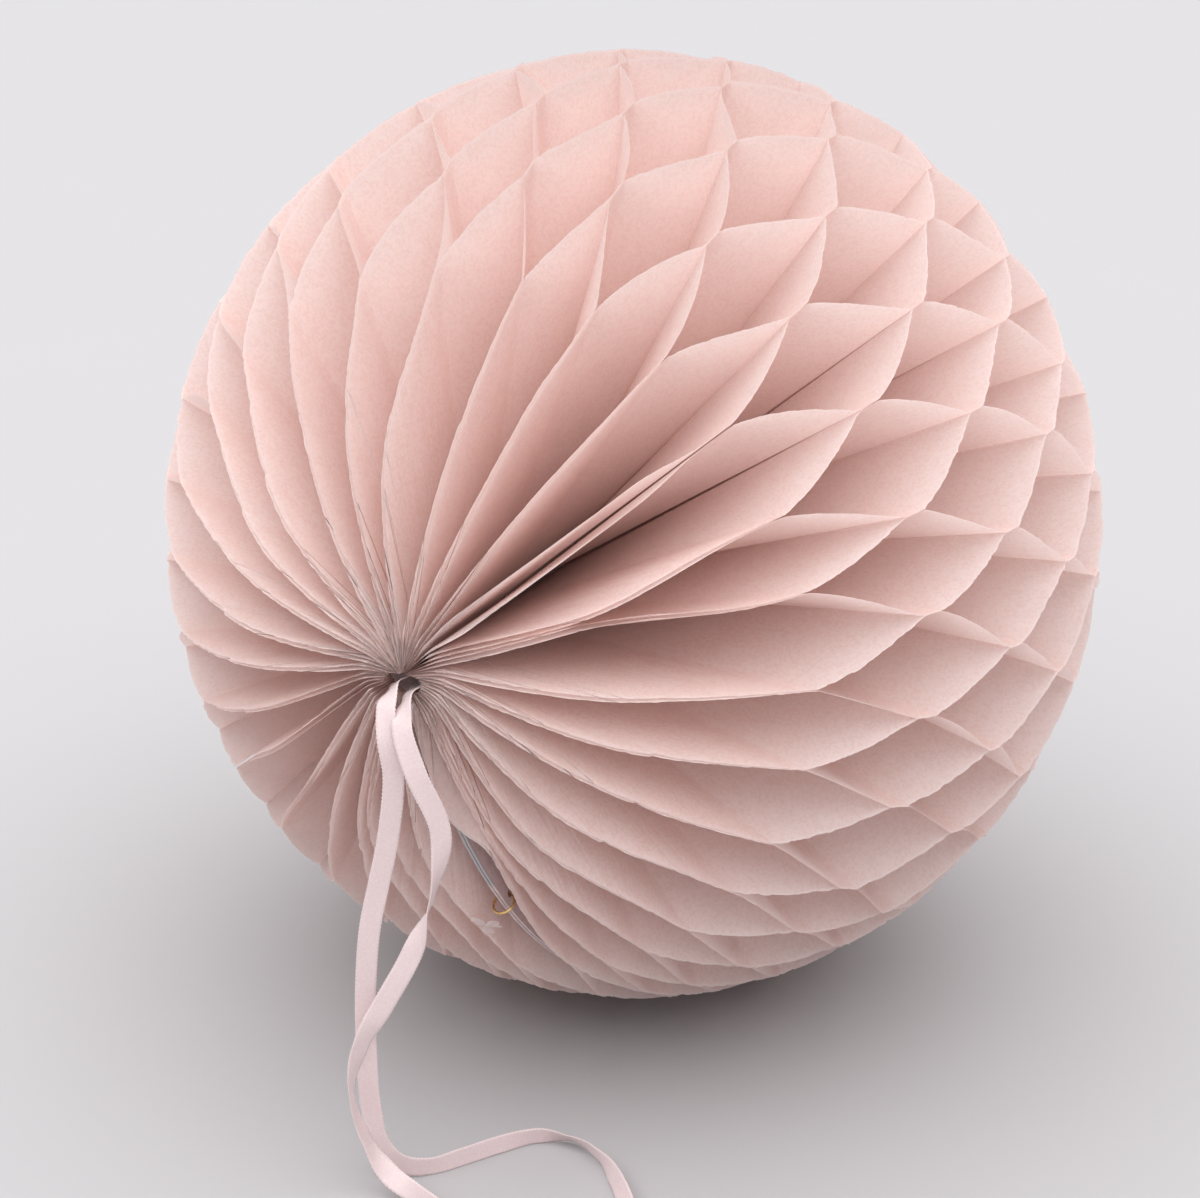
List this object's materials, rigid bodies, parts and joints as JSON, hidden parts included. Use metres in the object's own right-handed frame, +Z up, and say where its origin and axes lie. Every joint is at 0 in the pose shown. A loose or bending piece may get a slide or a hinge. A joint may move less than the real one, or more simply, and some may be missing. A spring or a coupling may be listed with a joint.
{
  "type": "honeycomb paper ball",
  "caption": "Round hanging decoration of fanned tissue leaves glued into open cells, held open at a seam by rings, with a satin ribbon loop.",
  "frame": {"origin": "On the surface that the ball rests on, under the middle of the ball's box, without its ribbon.", "axes": "+Z up. The spine lies along Y. The ribbon leaves the pole on the -Y side. The seam is at the bottom, turned a little towards +X."},
  "size_m": [0.299, 0.3478, 0.3001],
  "materials": {
    "tissue": "matte dusty pink tissue, slightly see-through",
    "card": "matte grey card",
    "brass": "polished wire",
    "cotton": "matte cotton thread",
    "satin": "pale pink satin with a soft sheen"
  },
  "bodies": {
    "root": {"honeycomb": "tissue", "cover_card_left": "card", "cover_card_right": "card", "closing_ring_front": "brass", "closing_ring_back": "brass", "spine_thread": "cotton", "ribbon": "satin"}
  },
  "joints": []
}
